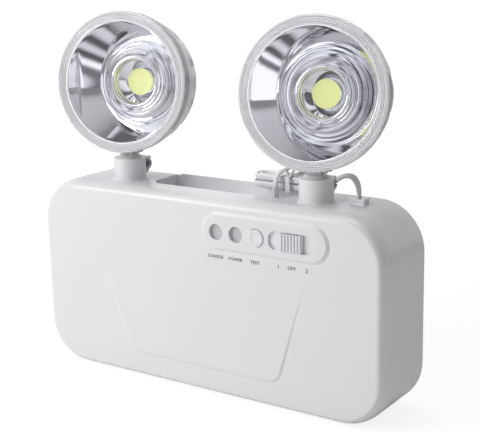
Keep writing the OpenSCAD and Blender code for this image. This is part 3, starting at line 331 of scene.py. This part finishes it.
def sloping_wall(radius, depth, inwards, deeper, count, bulge_out=0.0, bulge_up=0.0):
    """Points (radius, depth) down a slightly curved wall, from its outer edge."""
    shares = [k / (count - 1) for k in range(count)]
    return [(radius - inwards * s + bulge_out * s * (1 - s), depth + deeper * s - bulge_up * s * (1 - s))
            for s in shares]

cone = sloping_wall(radius=41.7, depth=3.3, inwards=17.1, deeper=25.3, count=18, bulge_out=0.6)
cup = sloping_wall(radius=15.0, depth=29.5, inwards=5.7, deeper=3.8, count=12, bulge_up=0.5)
bright_line = cone + VALLEY_AND_STEPS + cup
back_line = [(r + SHEET_OUT, d + SHEET_BACK) for r, d in reversed(bright_line)]
profile = FLANGE + bright_line + back_line + FLANGE_BACK + FLANGE[:1]
print("mirror profile points:", len(profile))

# %% [markdown]
# ## Mirrors: turned
# A round shape with one profile is best spun. The profile has a bright side and a back side, so the spun
# mirror has a wall, as a moulding has. It replaces the plainer reflector of the model and rides on the lamp.

# %% Spin the mirrors
MIRROR_SIDES = 128
SAME_PLACE = 1e-6

def spin_profile(name, points, steps, matrix):
    """Turn a profile of (radius, depth) round the lamp's axis."""
    bm = bmesh.new()
    verts = [bm.verts.new((r * MM, 0, d * MM)) for r, d in points]
    edges = [bm.edges.new(pair) for pair in zip(verts, verts[1:])]
    bmesh.ops.spin(bm, geom=verts + edges, cent=(0, 0, 0), axis=(0, 0, 1), angle=2 * pi,
                   steps=steps, use_merge=True, use_duplicate=False)
    bmesh.ops.remove_doubles(bm, verts=bm.verts, dist=SAME_PLACE)
    bmesh.ops.recalc_face_normals(bm, faces=bm.faces)
    bmesh.ops.transform(bm, matrix=matrix, verts=bm.verts)
    return finish_mesh(name, bm)

mirrors = []
for side in SIDES:
    piece = spin_profile(side + "_mirror", profile, MIRROR_SIDES, lamp_axes[side])
    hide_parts(side + "_reflector")
    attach(piece, side + "_lamp")
    mirrors.append(piece)

# %% [markdown]
# ## Printed marks
# Under the controls the front carries small black marks. They are generic words for what each does:
# CHARGE and POWER under the two indicators, TEST under the button, and 1, OFF and 2 under the switch.
# Ink could be painted on with a picture, but real letters stay sharp from near by. Text is turned into a
# mesh, made a hair thick and set just proud of the front face, a little left of each control.

# %% Marks under the controls
CAPITAL_SHARE, LETTER_GAP = 0.72, 1.12
INK, STROKE_SWELL = 0.02, 0.06
MARK_DROP = 17.1
MARKS = (("one", "1", "switch_knob", -10.4, 2.6), ("off", "OFF", "switch_knob", -0.6, 2.3),
         ("two", "2", "switch_knob", 10.6, 2.6), ("charge", "CHARGE", "charge_window", -1.6, 2.1),
         ("power", "POWER", "power_window", -1.4, 2.1), ("test", "TEST", "test_button", -1.6, 2.2))

def printed(name, words, control, shift, height):
    """Flat text on the front face under a control, moved sideways by shift."""
    data = bpy.data.curves.new(name, "FONT")
    data.body, data.align_x, data.align_y = words, "CENTER", "CENTER"
    data.size, data.space_character = height / CAPITAL_SHARE * MM, LETTER_GAP
    data.extrude, data.offset = INK * MM, STROKE_SWELL * MM
    text = bpy.data.objects.new(name + "_curve", data)
    bpy.context.scene.collection.objects.link(text)
    mesh = bpy.data.meshes.new_from_object(text.evaluated_get(bpy.context.evaluated_depsgraph_get()))
    bpy.data.objects.remove(text)
    above = middle_mm(control)
    place = Vector((above.x + shift, front_y - INK, above.z - MARK_DROP)) * MM
    mesh.transform(Matrix.Translation(place) @ Matrix.Rotation(pi / 2, 4, "X"))
    obj = bpy.data.objects.new(name, mesh)
    bpy.context.scene.collection.objects.link(obj)
    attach(obj, "case")
    return obj

marks = [printed("mark_" + name, *row) for name, *row in MARKS]
print("marks:", len(marks))

# %% [markdown]
# ## Finishes: short words for node trees
# A material is a small tree of linked nodes. Written out in full, each node takes four or five lines. Three
# helpers shorten that: one adds a node with its values, one links outputs to inputs, and one makes a ramp of
# greys, which the lenses and the surround both use.

# %% Helpers for node trees
def add_node(tree, kind, values=None, **settings):
    """A node of a kind, with its settings and then its input values."""
    node = tree.nodes.new("ShaderNode" + kind)
    for key, value in settings.items():
        setattr(node, key, value)
    for key, value in (values or {}).items():
        node.inputs[key].default_value = value
    return node

def join(tree, *pairs):
    """Link each output to its input."""
    for source, target in pairs:
        tree.links.new(source, target)

def grey_ramp(tree, share, stops, tint):
    """A ramp of (place, level) stops in one tint, driven by a share from 0 to 1. Gives its colour output."""
    node = add_node(tree, "ValToRGB")
    elements = node.color_ramp.elements
    while len(elements) < len(stops):
        elements.new(0.5)
    for element, (place, level) in zip(elements, stops):
        element.position = place
        element.color = (*(level * part for part in tint), 1)
    join(tree, (share, node.inputs["Fac"]))
    return node.outputs["Color"]

print("helpers: add_node, join, grey_ramp")

# %% [markdown]
# ## Finishes: one helper for all
# No moulded or plated face is perfectly even. A finish here is one shader whose colour and gloss drift a
# little with a soft noise, and whose face has a very fine grain. Both noises are in object coordinates, so
# they stay with a piece when it moves. One helper makes them all, and each finish only gives its numbers.

# %% Finish helper
GRAIN_DEPTH = 0.0002

def finish(name, color, rough, metal=0.0, spread=0.02, grain=900.0, bump=0.02, tone=0.02, scale=60.0,
           coat=0.0, ior=1.5, clear=0.0):
    """A finish with a little drift in colour and gloss and a fine grain."""
    mat = bpy.data.materials.new(name)
    mat.use_nodes = True
    tree = mat.node_tree
    shader = tree.nodes["Principled BSDF"]
    place = add_node(tree, "TexCoord").outputs["Object"]
    drift = add_node(tree, "TexNoise", {"Scale": scale, "Detail": 3.0})
    ramp = add_node(tree, "ValToRGB")
    for element, way in zip(ramp.color_ramp.elements, (-1, 1)):
        element.color = (*(max(0.0, min(1.0, c * (1 + way * tone))) for c in color), 1)
    gloss = add_node(tree, "MapRange", {"To Min": max(0.0, rough - spread), "To Max": rough + spread})
    join(tree, (place, drift.inputs["Vector"]), (drift.outputs["Fac"], ramp.inputs["Fac"]),
         (ramp.outputs["Color"], shader.inputs["Base Color"]), (drift.outputs["Fac"], gloss.inputs["Value"]),
         (gloss.outputs["Result"], shader.inputs["Roughness"]))
    if bump > 0:
        fine = add_node(tree, "TexNoise", {"Scale": grain})
        relief = add_node(tree, "Bump", {"Strength": bump, "Distance": GRAIN_DEPTH})
        join(tree, (place, fine.inputs["Vector"]), (fine.outputs["Fac"], relief.inputs["Height"]),
             (relief.outputs["Normal"], shader.inputs["Normal"]))
    uniform = {"Metallic": metal, "Coat Weight": coat, "IOR": ior, "Transmission Weight": clear}
    for key, value in uniform.items():
        shader.inputs[key].default_value = value
    return mat

skins = {}
print("finish helper ready")

# %% [markdown]
# ## Finishes: white plastic and flex
# The housing is glossy white plastic with a faint cool tint, so it gets a low roughness and a thin coat.
# The flex is softer and duller. The tie's covering is paper-like and matt.

# %% White finishes
skins["white_abs"] = finish("glossy white moulding", (0.83, 0.825, 0.85), 0.26, coat=0.15, tone=0.006,
                            bump=0.015)
skins["cord_pvc"] = finish("soft white flex", (0.80, 0.80, 0.82), 0.42, tone=0.02, bump=0.08, grain=1500)
skins["tie_paper"] = finish("tie paper", (0.78, 0.78, 0.8), 0.7, tone=0.03, grain=1200, bump=0.2)
print("white finishes:", len(skins))

# %% [markdown]
# ## Finishes: metals
# Screws and nuts are dull zinc or black, the plug's pins are nickel plated, the heat sinks plain aluminium.
# The mirror is a thin metal film on plastic. It isn't as bright as silver: light that bounces twice or
# more in the bowl has to come out grey, as in the photograph.

# %% Metal finishes
skins["zinc_steel"] = finish("dull zinc plate", (0.30, 0.30, 0.31), 0.34, metal=1.0, tone=0.12, scale=300,
                             bump=0.05)
skins["black_steel"] = finish("black oxide and print", (0.02, 0.02, 0.022), 0.4, tone=0.2, scale=200)
skins["bright_reflector"] = finish("metallised mirror", (0.80, 0.805, 0.825), 0.04, metal=1.0, tone=0.01,
                                   bump=0.006, grain=120)
skins["sink_aluminium"] = finish("plain aluminium", (0.72, 0.72, 0.73), 0.35, metal=1.0, tone=0.05, scale=150)
skins["plated_metal"] = finish("nickel plate", (0.66, 0.65, 0.62), 0.25, metal=1.0, tone=0.05, scale=200)
skins["core_steel"] = finish("varnished laminations", (0.07, 0.07, 0.08), 0.4, metal=0.6, tone=0.2, scale=500)
print("finishes so far:", len(skins))

# %% [markdown]
# ## Finishes: parts inside
# The board, the battery, the transformer and the small parts are hidden in the closed case. They still get
# their own plain finishes, because the light can be taken apart.

# %% Inner finishes
skins["white_board"] = finish("white board", (0.85, 0.85, 0.85), 0.35, tone=0.02)
skins["green_board"] = finish("green solder mask", (0.03, 0.16, 0.06), 0.3, tone=0.15, scale=250)
skins["led_plastic"] = finish("epoxy dome", (0.7, 0.7, 0.7), 0.15, tone=0.02)
skins["dark_plastic"] = finish("dark moulding", (0.04, 0.04, 0.045), 0.4, tone=0.1)
skins["battery_case"] = finish("dark battery case", (0.03, 0.033, 0.04), 0.45, tone=0.1)
skins["foam_pad"] = finish("soft foam", (0.08, 0.08, 0.08), 0.9, tone=0.2, grain=1800, bump=0.6)
skins["coil_tape"] = finish("yellow tape", (0.62, 0.42, 0.06), 0.4, tone=0.1, scale=120)
print("finishes so far:", len(skins))

# %% [markdown]
# ## Finishes: windows and emitters
# The indicator windows are smoked grey. Each emitter is a disc of pale yellow phosphor. The real disc looks
# brighter than plain paint would, though the lamp is off. More light in the room would wash out the white case, so
# the disc gets a faint painted glow instead, which stands in for that light.

# %% Windows and emitters
# Painted glow: the emitter disc shines faintly by itself, standing in for room light.
PHOSPHOR_PAINTED_GLOW, PHOSPHOR_PAINTED_GLOW_STRENGTH = (0.9, 1.0, 0.3, 1), 0.32
skins["grey_window"] = finish("smoked grey window", (0.56, 0.56, 0.58), 0.3, tone=0.05, bump=0.05)
skins["phosphor"] = finish("pale phosphor with painted glow", (0.95, 0.97, 0.47), 0.6, tone=0.06, scale=400, bump=0.2,
                           grain=2500)
glowing = skins["phosphor"].node_tree.nodes["Principled BSDF"]
glowing.inputs["Emission Color"].default_value = PHOSPHOR_PAINTED_GLOW
glowing.inputs["Emission Strength"].default_value = PHOSPHOR_PAINTED_GLOW_STRENGTH
print("finishes so far:", len(skins))

# %% [markdown]
# ## Finishes: the lenses
# A lens is one clear moulding. Over the mirror it is plain and quite clear. Its border, outside the mirror's
# mouth, has fine round grooves that look pale and have thin dark lines. The grooves are too fine to model, so the
# border is drawn as rings, with their shade and light painted on. Each list gives places from the mouth, 0, to the
# rim, 1, with a level: how clear, how rough, how dark (painted shade: thin dark lines for the grooves and a darker
# rim), and how much it shines. That last is a very faint painted glow, and stands for the light that the grooves
# gather from all round.

# %% Rings of the lens's border
MOUTH_R, RIM_R = 41.2, 49.0
BORDER_TINT = (0.985, 0.985, 1.0)
BORDER_CLEAR = ((0.0, 1.0), (0.08, 1.0), (0.1, 0.1), (0.16, 0.1), (0.19, 0.6), (1.0, 0.5))
BORDER_ROUGH = ((0.0, 0.02), (0.08, 0.02), (0.1, 0.3), (0.16, 0.3), (0.19, 0.08), (1.0, 0.08))
# Painted shade: thin dark lines where the grooves would be shaded, and a darker rim.
BORDER_PAINTED_SHADE = ((0.0, 1.0), (0.17, 1.0), (0.19, 0.35), (0.21, 1.0), (0.36, 1.0), (0.38, 0.2), (0.4, 1.0),
                (0.56, 1.0), (0.58, 0.35), (0.6, 1.0), (0.76, 1.0), (0.78, 0.2), (0.8, 1.0), (0.95, 1.0),
                (1.0, 0.5))
# Painted glow: a faint shine of the border's own, standing in for light the grooves gather.
BORDER_PAINTED_GLOW = ((0.0, 0.0), (0.09, 0.0), (0.11, 0.25), (0.16, 0.25), (0.19, 0.0), (0.21, 0.07), (0.36, 0.06),
               (0.38, 0.0), (0.41, 0.07), (0.56, 0.06), (0.58, 0.0), (0.61, 0.07), (0.76, 0.06), (0.78, 0.0),
               (0.81, 0.07), (0.95, 0.07), (1.0, 0.0))
print("border from", MOUTH_R, "to", RIM_R, "mm with", len(BORDER_PAINTED_SHADE), "stops of shade")

# %% [markdown]
# ## Finishes: the lens shader
# The rings need the distance from the lamp's own axis. So the object coordinates are first turned and moved
# back to that axis, then made flat, and their length is the distance. One finish would do if both lamps
# looked the same way, but each leans a little differently, so each lens has its own.

# %% Lens finish
BORDER_LIGHT = (0.95, 0.97, 1.0, 1)

def lens_finish(name, matrix):
    """Clear inside the mirror's mouth; outside it pale and a little frosted, with painted shade lines and a faint
    painted glow for fine round grooves.
    """
    mat = finish(name, (1.0, 1.0, 1.0), 0.02, spread=0.0, tone=0.0, bump=0.0, clear=1.0, ior=1.3)
    tree = mat.node_tree
    shader = tree.nodes["Principled BSDF"]
    place = add_node(tree, "TexCoord")
    axis = add_node(tree, "Mapping", {"Location": matrix.to_translation(), "Rotation": matrix.to_euler()},
                    vector_type="TEXTURE")
    flat = add_node(tree, "VectorMath", {1: (1, 1, 0)}, operation="MULTIPLY")
    reach = add_node(tree, "VectorMath", operation="LENGTH")
    edge = add_node(tree, "MapRange", {"From Min": MOUTH_R * MM, "From Max": RIM_R * MM})
    join(tree, (place.outputs["Object"], axis.inputs["Vector"]), (axis.outputs["Vector"], flat.inputs[0]),
         (flat.outputs["Vector"], reach.inputs[0]), (reach.outputs["Value"], edge.inputs["Value"]))
    for socket, stops in (("Transmission Weight", BORDER_CLEAR), ("Roughness", BORDER_ROUGH),
                          ("Base Color", BORDER_PAINTED_SHADE), ("Emission Strength", BORDER_PAINTED_GLOW)):
        join(tree, (grey_ramp(tree, edge.outputs["Result"], stops, BORDER_TINT), shader.inputs[socket]))
    shader.inputs["Emission Color"].default_value = BORDER_LIGHT
    return mat

lens_skins = {side + "_lens": lens_finish(side + " clear lens", lamp_axes[side]) for side in SIDES}
skins["clear_lens"] = lens_skins["left_lens"]
print("lens finishes:", len(lens_skins))

# %% [markdown]
# ## Finishes: put on
# The model's record says which slot of material each node has. Every node gets the finish of its slot, and
# each lens its own, because the grooves follow its own axis. The new pieces get theirs by hand.

# %% Give every piece its finish
slot_of = {row["node"]: row["material_slot"] for row in frame["record"]["subparts"]}
for name, obj in nodes.items():
    obj.data.materials.clear()
    obj.data.materials.append(lens_skins.get(name, skins[slot_of[name]]))
cord.data.materials.append(skins["cord_pvc"])
for piece in mirrors:
    piece.data.materials.append(skins["bright_reflector"])
for piece in marks:
    piece.data.materials.append(skins["black_steel"])
print("finishes:", len(skins), "on", len(nodes) + 1 + len(mirrors) + len(marks), "pieces")

# %% [markdown]
# ## Floor: the plane
# The light stands on a plain floor, a hair below its foot. A grid of one face is enough.

# %% Floor plane
FLOOR_SIZE, FLOOR_DROP = 60.0, 0.0002

def plain_plane(name, size, matrix):
    """A square plane with its place in its mesh."""
    bm = bmesh.new()
    bmesh.ops.create_grid(bm, x_segments=1, y_segments=1, size=size / 2)
    bmesh.ops.transform(bm, matrix=matrix, verts=bm.verts)
    obj = finish_mesh(name, bm, smooth=False)
    return obj

floor_plane = plain_plane("floor", FLOOR_SIZE, Matrix.Translation((0, 0, -FLOOR_DROP)))

# %% [markdown]
# ## Floor: the paper
# The photograph has a white ground without an edge. A bright floor would throw light up at the object, so
# this one is plain pale paper to all light, and shines only for the camera, partly, so that the object's
# shadow still shows. It is a little whiter farther off, so its edge melts into the white surround.

# %% Floor paper
NEAR, FAR = 0.35, 1.4
NEAR_GLOW, FAR_GLOW = 1.16, 1.36
GLOW_SHARE = 0.72

def floor_paper():
    """Pale matt paper that partly shines, for the camera alone."""
    paper = bpy.data.materials.new("pale floor")
    paper.use_nodes = True
    tree = paper.node_tree
    base = tree.nodes["Principled BSDF"]
    base.inputs["Base Color"].default_value = (0.92, 0.92, 0.92, 1)
    base.inputs["Roughness"].default_value = 0.9
    base.inputs["Specular IOR Level"].default_value = 0.1
    place, rays = add_node(tree, "TexCoord"), add_node(tree, "LightPath")
    far = add_node(tree, "VectorMath", operation="LENGTH")
    paler = add_node(tree, "MapRange", {"From Min": NEAR, "From Max": FAR,
                                        "To Min": NEAR_GLOW, "To Max": FAR_GLOW})
    glow = add_node(tree, "Emission")
    part = add_node(tree, "Math", {1: GLOW_SHARE}, operation="MULTIPLY")
    mix = add_node(tree, "MixShader")
    join(tree, (place.outputs["Object"], far.inputs[0]), (far.outputs["Value"], paler.inputs["Value"]),
         (paler.outputs["Result"], glow.inputs["Strength"]), (rays.outputs["Is Camera Ray"], part.inputs[0]),
         (part.outputs[0], mix.inputs["Fac"]), (base.outputs[0], mix.inputs[1]),
         (glow.outputs[0], mix.inputs[2]), (mix.outputs[0], tree.nodes["Material Output"].inputs["Surface"]))
    return paper

floor_plane.data.materials.append(floor_paper())
print("floor shines from", NEAR_GLOW, "to", FAR_GLOW)

# %% [markdown]
# ## Surround: how bright
# The background of the photograph is pure white, yet the white case still has shading. One even white world
# would wash it out. So the world is at full strength only where it is seen: by the camera, in shiny faces
# and through glass. As a light on matt faces it is much weaker, and the lamps do the rest.

# %% World
AMBIENT, SEEN = 0.25, 1.0
world = bpy.data.worlds.new("studio")
bpy.context.scene.world = world
world.use_nodes = True
sky = world.node_tree
back = sky.nodes["Background"]
rays = add_node(sky, "LightPath").outputs
direct = add_node(sky, "Math", operation="MAXIMUM")
anyhow = add_node(sky, "Math", operation="MAXIMUM")
strength = add_node(sky, "MapRange", {"To Min": AMBIENT, "To Max": SEEN})
join(sky, (rays["Is Camera Ray"], direct.inputs[0]), (rays["Is Glossy Ray"], direct.inputs[1]),
     (direct.outputs[0], anyhow.inputs[0]), (rays["Is Transmission Ray"], anyhow.inputs[1]),
     (anyhow.outputs[0], strength.inputs["Value"]), (strength.outputs["Result"], back.inputs["Strength"]))
print("world strength:", AMBIENT, "to", SEEN)

# %% [markdown]
# ## Surround: bands for the mirrors
# A mirror shows its surround. In the photograph the bowls are full of grey and black wedges. A modelled room
# could cast them, but it would be guesswork and slow. So the world has upright bands, and only shiny faces
# see them. A place on the ramp is a compass direction: 0.25 is straight ahead of the light, 0.5 its right.
# The camera stands near 0.35. The lenses' rims mirror the stretch from 0.2 to 0.24, so that one is bright.

# %% Bands of the surround
BAND_TINT = (1.0, 1.0, 1.03)
BANDS = ((0.0, 0.9), (0.08, 1.0), (0.1, 0.1), (0.125, 0.05), (0.14, 1.1), (0.165, 1.0), (0.175, 0.2),
         (0.19, 0.12), (0.2, 0.9), (0.215, 1.6), (0.238, 1.6), (0.246, 0.2), (0.256, 0.15), (0.264, 1.6),
         (0.272, 1.5), (0.285, 0.1), (0.3, 0.03), (0.315, 0.9), (0.33, 1.0), (0.35, 0.08), (0.37, 0.03),
         (0.39, 0.9), (0.41, 1.0), (0.42, 0.06), (0.45, 0.03), (0.46, 1.0), (0.476, 1.1), (0.49, 0.08),
         (0.54, 0.06), (0.6, 0.8), (0.8, 1.0), (1.0, 0.9))
WHITE_IN, BANDS_IN, COLOUR_OUT = 6, 7, 2
way = add_node(sky, "TexCoord")
compass = add_node(sky, "TexGradient", gradient_type="RADIAL")
shiny = add_node(sky, "Mix", {WHITE_IN: (1, 1, 1, 1)}, data_type="RGBA")
join(sky, (way.outputs["Generated"], compass.inputs["Vector"]),
     (grey_ramp(sky, compass.outputs["Fac"], BANDS, BAND_TINT), shiny.inputs[BANDS_IN]),
     (rays["Is Glossy Ray"], shiny.inputs[0]), (shiny.outputs[COLOUR_OUT], back.inputs["Color"]))
print("bands:", len(BANDS))

# %% [markdown]
# ## Lamps of the studio
# Two large soft lamps light the white case: a key from the left front, which leaves the right side darker
# as in the photograph, and a weaker one above and behind, which brightens the top.

# %% Two soft lamps
def softbox(name, place, target, size, watts):
    """A square area lamp that looks at a point."""
    data = bpy.data.lights.new(name, "AREA")
    data.shape, data.size, data.energy = "SQUARE", size, watts
    lamp = bpy.data.objects.new(name, data)
    bpy.context.scene.collection.objects.link(lamp)
    lamp.location = place
    lamp.rotation_euler = (Vector(target) - Vector(place)).to_track_quat("-Z", "Y").to_euler()
    return lamp

key = softbox("key", (-0.8, -0.95, 0.7), (0, 0, 0.12), size=0.8, watts=11.8)
top = softbox("top", (-0.1, 0.2, 1.4), (0, 0, 0.1), size=0.8, watts=6)
print("lamps:", key.name, top.name)

# %% [markdown]
# ## Dark cards
# Photographers put black cards beside shiny things to give them edges. Three such cards stand here, left,
# right and low in front. They are hidden from the camera and from matt faces, so that they darken only what
# shiny faces reflect.

# %% Dark cards for the mirrors
CARD_AIM = (0.0, 0.0, 0.2)
CARDS = (("card_left", (-1.3, -0.5, 0.5), 0.8), ("card_low", (0.2, -0.9, 0.0), 0.3),
         ("card_right", (1.0, -0.9, 0.75), 0.35))

def dark_card(name, place, size):
    """A near-black card that only shiny faces see."""
    look = (Vector(CARD_AIM) - Vector(place)).to_track_quat("-Z", "Y").to_matrix().to_4x4()
    obj = plain_plane(name, size, Matrix.Translation(place) @ look)
    obj.visible_camera = False
    obj.visible_diffuse = False
    obj.visible_shadow = False
    obj.visible_transmission = False
    return obj

card_paper = bpy.data.materials.new("dark card")
card_paper.use_nodes = True
card_face = card_paper.node_tree.nodes["Principled BSDF"]
card_face.inputs["Base Color"].default_value = (0.02, 0.02, 0.022, 1)
card_face.inputs["Roughness"].default_value = 1.0
for row in CARDS:
    dark_card(*row).data.materials.append(card_paper)

bpy.context.view_layer.update()
